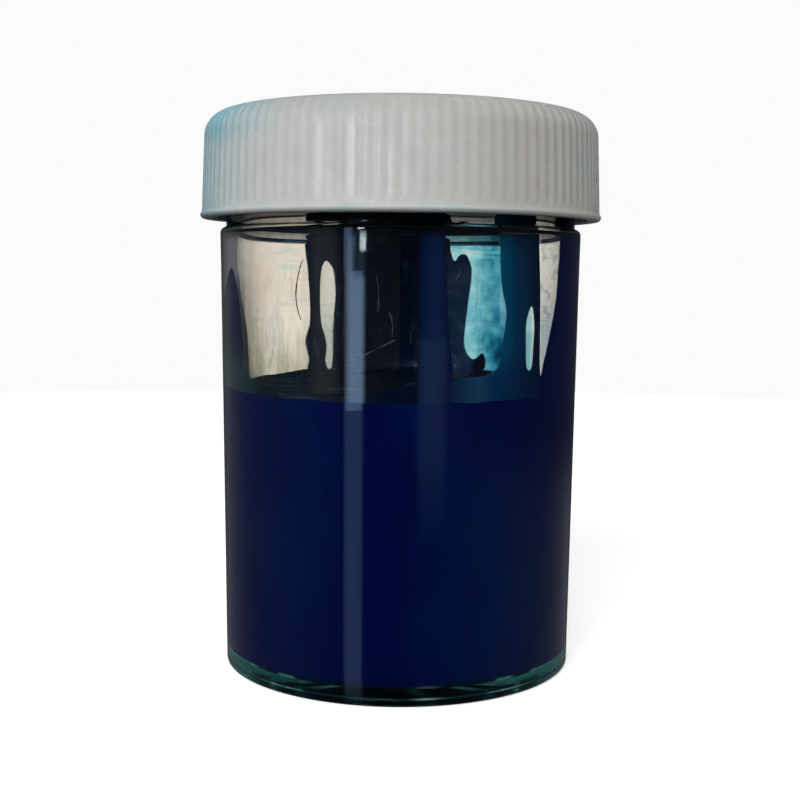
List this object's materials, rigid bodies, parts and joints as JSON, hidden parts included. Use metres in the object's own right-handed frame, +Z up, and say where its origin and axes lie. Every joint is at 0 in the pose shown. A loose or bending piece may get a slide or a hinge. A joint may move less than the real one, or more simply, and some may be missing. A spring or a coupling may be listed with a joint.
{
  "type": "paint jar",
  "caption": "Clear straight-sided screw-top jar with a ribbed white cap, part full of thick dark blue paint.",
  "frame": {"origin": "middle of the circle that the base stands on", "axes": "+Z up the jar's axis, the jar's front faces -Y"},
  "size_m": [0.0512, 0.051, 0.0701],
  "materials": {
    "jar": "gloss",
    "cap": "satin",
    "liner": "matte",
    "paint": "satin",
    "paint_coat": "satin"
  },
  "bodies": {
    "jar": {"jar_body": "jar", "paint_fill": "paint", "coat_back": "paint_coat", "drip_back": "paint_coat", "coat_left": "paint_coat", "coat_front": "paint_coat", "coat_front_right": "paint_coat", "coat_right": "paint_coat"},
    "liner": {"cap_liner": "liner"},
    "cap": {"screw_cap": "cap"}
  },
  "joints": [
    {"name": "cap_rise", "type": "slide", "parent": "jar", "child": "liner", "axis": [0, 0, 1], "range_m": [0, 0.01485]},
    {"name": "cap_turn", "type": "hinge", "parent": "liner", "child": "cap", "pos_m": [0, 0, 0.0569], "axis": [0, 0, 1], "range_deg": [0, 1260]}
  ],
  "couplings": [
    {"joint": "cap_rise", "follows": "cap_turn", "m_per_rad": 0.00067375}
  ]
}
